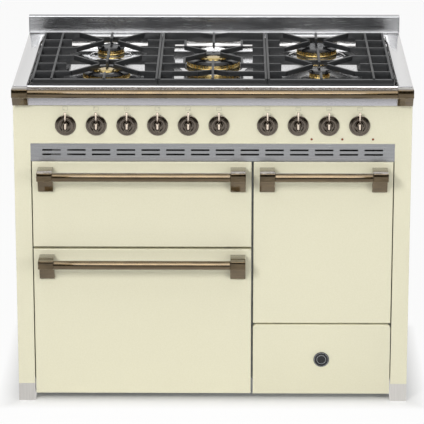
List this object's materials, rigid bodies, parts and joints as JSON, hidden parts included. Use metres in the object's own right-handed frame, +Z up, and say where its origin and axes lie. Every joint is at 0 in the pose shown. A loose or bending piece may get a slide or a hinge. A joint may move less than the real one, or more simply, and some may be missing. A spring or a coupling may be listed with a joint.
{
  "type": "range cooker",
  "caption": "Freestanding range cooker with a gas hob under cast pan supports, a main oven below a grill oven, a tall side oven over a drawer, bar handles and a front rail.",
  "frame": {"origin": "middle of the cooker's own box, on the floor", "axes": "+X to the right as seen from the front, +Y towards the wall, +Z up"},
  "size_m": [1, 0.663, 0.886],
  "materials": {
    "cream_enamel": "gloss vitreous enamel",
    "polished_steel": "polished stainless steel",
    "brushed_steel": "satin stainless steel",
    "zinc_steel": "zinc-plated sheet",
    "cast_bronze": "satin antique bronze",
    "cast_iron": "matt black enamel",
    "black_enamel": "black vitreous enamel",
    "brass": "machined brass",
    "aluminium": "die cast",
    "chrome_wire": "chromed wire",
    "seal_rubber": "matt silicone",
    "black_plastic": "moulded",
    "ceramic": "glazed ceramic",
    "lens": "clear moulding",
    "badge_black": "gloss black"
  },
  "bodies": {
    "cooker": {"corner_posts": "cream_enamel", "foot_sleeves": "brushed_steel", "levelling_feet": "zinc_steel", "outer_panels": "cream_enamel", "base_tray": "zinc_steel", "front_frame": "zinc_steel", "hob_top": "polished_steel", "backguard": "polished_steel", "burner_bases": "aluminium", "burner_crowns": "brass", "burner_caps": "black_enamel", "spark_igniters": "ceramic", "front_rail": "cast_bronze", "control_panel": "cream_enamel", "vent_strip": "brushed_steel", "knob_bezels": "cast_bronze", "indicator_lamps": "lens", "gas_manifold": "aluminium", "oven_switches": "black_plastic", "main_oven_cavity": "black_enamel", "grill_cavity": "black_enamel", "side_oven_cavity": "black_enamel", "door_seals": "seal_rubber", "oven_shelves": "chrome_wire", "heating_elements": "zinc_steel", "fan_cover": "black_enamel", "fan_motor": "zinc_steel", "door_hinges": "zinc_steel", "drawer_runners": "zinc_steel"},
    "main_door": {"main_door_panel": "cream_enamel", "main_door_liner": "black_enamel", "main_door_handle": "cast_bronze"},
    "grill_door": {"grill_door_panel": "cream_enamel", "grill_door_liner": "black_enamel", "grill_door_handle": "cast_bronze"},
    "side_door": {"side_door_panel": "cream_enamel", "side_door_liner": "black_enamel", "side_door_handle": "cast_bronze"},
    "drawer": {"drawer_front": "cream_enamel", "drawer_box": "zinc_steel", "drawer_badge": "badge_black"},
    "tap_1": {"tap_spindle_1": "brass"},
    "tap_2": {"tap_spindle_2": "brass"},
    "tap_3": {"tap_spindle_3": "brass"},
    "tap_4": {"tap_spindle_4": "brass"},
    "tap_5": {"tap_spindle_5": "brass"},
    "knob_01": {"knob_01": "cast_bronze"},
    "knob_02": {"knob_02": "cast_bronze"},
    "knob_03": {"knob_03": "cast_bronze"},
    "knob_04": {"knob_04": "cast_bronze"},
    "knob_05": {"knob_05": "cast_bronze"},
    "knob_06": {"knob_06": "cast_bronze"},
    "knob_07": {"knob_07": "cast_bronze"},
    "knob_08": {"knob_08": "cast_bronze"},
    "knob_09": {"knob_09": "cast_bronze"},
    "knob_10": {"knob_10": "cast_bronze"},
    "oven_fan": {"oven_fan": "zinc_steel"},
    "pan_support_left": {"pan_support_left": "cast_iron"},
    "pan_support_centre": {"pan_support_centre": "cast_iron"},
    "pan_support_right": {"pan_support_right": "cast_iron"}
  },
  "joints": [
    {"name": "main_door_hinge", "type": "hinge", "parent": "cooker", "child": "main_door", "pos_m": [-0.1785, -0.2605, 0.028], "axis": [1, 0, 0], "range_deg": [0, 80]},
    {"name": "grill_door_hinge", "type": "hinge", "parent": "cooker", "child": "grill_door", "pos_m": [-0.1785, -0.2605, 0.424], "axis": [1, 0, 0], "range_deg": [0, 90]},
    {"name": "side_door_hinge", "type": "hinge", "parent": "cooker", "child": "side_door", "pos_m": [0.2795, -0.2605, 0.22], "axis": [1, 0, 0], "range_deg": [0, 90]},
    {"name": "drawer_slide", "type": "slide", "parent": "cooker", "child": "drawer", "axis": [0, -1, 0], "range_m": [0, 0.3]},
    {"name": "oven_fan_spin", "type": "hinge", "parent": "cooker", "child": "oven_fan", "pos_m": [-0.1785, 0.1815, 0.216], "axis": [0, 1, 0], "continuous": true},
    {"name": "tap_push_1", "type": "slide", "parent": "cooker", "child": "tap_1", "axis": [0, 1, 0], "range_m": [0, 0.003], "stiffness_N_per_m": 1500, "springref_m": -0.002},
    {"name": "tap_push_2", "type": "slide", "parent": "cooker", "child": "tap_2", "axis": [0, 1, 0], "range_m": [0, 0.003], "stiffness_N_per_m": 1500, "springref_m": -0.002},
    {"name": "tap_push_3", "type": "slide", "parent": "cooker", "child": "tap_3", "axis": [0, 1, 0], "range_m": [0, 0.003], "stiffness_N_per_m": 1500, "springref_m": -0.002},
    {"name": "tap_push_4", "type": "slide", "parent": "cooker", "child": "tap_4", "axis": [0, 1, 0], "range_m": [0, 0.003], "stiffness_N_per_m": 1500, "springref_m": -0.002},
    {"name": "tap_push_5", "type": "slide", "parent": "cooker", "child": "tap_5", "axis": [0, 1, 0], "range_m": [0, 0.003], "stiffness_N_per_m": 1500, "springref_m": -0.002},
    {"name": "knob_turn_01", "type": "hinge", "parent": "tap_1", "child": "knob_01", "pos_m": [-0.369, -0.2885, 0.736], "axis": [0, -1, 0], "range_deg": [0, 210]},
    {"name": "knob_turn_02", "type": "hinge", "parent": "tap_2", "child": "knob_02", "pos_m": [-0.292, -0.2885, 0.736], "axis": [0, -1, 0], "range_deg": [0, 210]},
    {"name": "knob_turn_03", "type": "hinge", "parent": "tap_3", "child": "knob_03", "pos_m": [-0.215, -0.2885, 0.736], "axis": [0, -1, 0], "range_deg": [0, 210]},
    {"name": "knob_turn_04", "type": "hinge", "parent": "tap_4", "child": "knob_04", "pos_m": [-0.138, -0.2885, 0.736], "axis": [0, -1, 0], "range_deg": [0, 210]},
    {"name": "knob_turn_05", "type": "hinge", "parent": "tap_5", "child": "knob_05", "pos_m": [-0.061, -0.2885, 0.736], "axis": [0, -1, 0], "range_deg": [0, 210]},
    {"name": "knob_turn_06", "type": "hinge", "parent": "cooker", "child": "knob_06", "pos_m": [0.016, -0.2885, 0.736], "axis": [0, 1, 0], "range_deg": [0, 300]},
    {"name": "knob_turn_07", "type": "hinge", "parent": "cooker", "child": "knob_07", "pos_m": [0.1375, -0.2885, 0.736], "axis": [0, 1, 0], "range_deg": [0, 270]},
    {"name": "knob_turn_08", "type": "hinge", "parent": "cooker", "child": "knob_08", "pos_m": [0.2145, -0.2885, 0.736], "axis": [0, 1, 0], "range_deg": [0, 270]},
    {"name": "knob_turn_09", "type": "hinge", "parent": "cooker", "child": "knob_09", "pos_m": [0.2915, -0.2885, 0.736], "axis": [0, 1, 0], "range_deg": [0, 270]},
    {"name": "knob_turn_10", "type": "hinge", "parent": "cooker", "child": "knob_10", "pos_m": [0.3685, -0.2885, 0.736], "axis": [0, 1, 0], "range_deg": [0, 270]},
    {"name": "pan_support_left_lift", "type": "slide", "parent": "cooker", "child": "pan_support_left", "axis": [0, 0, 1], "range_m": [0, 0.15]},
    {"name": "pan_support_centre_lift", "type": "slide", "parent": "cooker", "child": "pan_support_centre", "axis": [0, 0, 1], "range_m": [0, 0.15]},
    {"name": "pan_support_right_lift", "type": "slide", "parent": "cooker", "child": "pan_support_right", "axis": [0, 0, 1], "range_m": [0, 0.15]}
  ]
}
